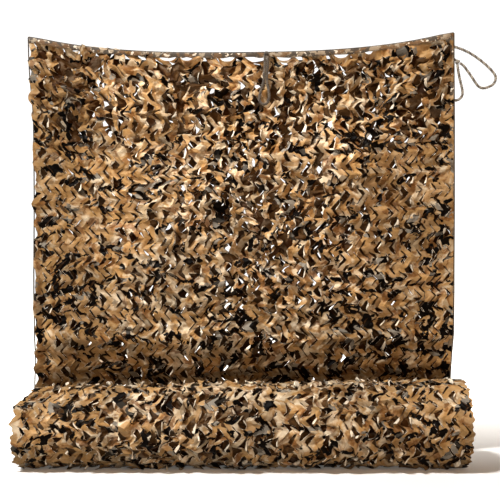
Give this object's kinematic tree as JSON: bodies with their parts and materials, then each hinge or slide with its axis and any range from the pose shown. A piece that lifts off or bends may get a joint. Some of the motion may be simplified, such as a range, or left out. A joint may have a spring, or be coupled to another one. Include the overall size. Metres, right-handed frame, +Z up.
{
  "type": "camouflage netting",
  "caption": "Camouflage netting of slit cloth, hung by its top edge, with the rest of its length wound on a roll that rests on the floor in front.",
  "frame": {"origin": "middle of the top edge, where the cloth is hung; the floor that the roll rests on is 1.43 m below it", "axes": "+Z up, +X to the right of someone who faces the cloth, +Y away from them, behind the cloth"},
  "size_m": [1.6646, 0.3062, 1.5095],
  "materials": {
    "slit_cloth": "matt printed polyester oxford cloth in tan, brown and near-black patches",
    "border_cord": "matt grey-brown border cord",
    "tie_cord": "matt twisted cord of a pale and a brown strand"
  },
  "bodies": {
    "root": {"hung_net": "slit_cloth", "net_roll": "slit_cloth", "edge_cord": "border_cord", "corner_hitch": "tie_cord", "corner_tie_loop": "tie_cord", "corner_knot": "tie_cord", "corner_tie_tail": "tie_cord", "corner_tie_link": "tie_cord", "middle_hitch": "tie_cord", "middle_tie": "tie_cord"}
  },
  "joints": []
}
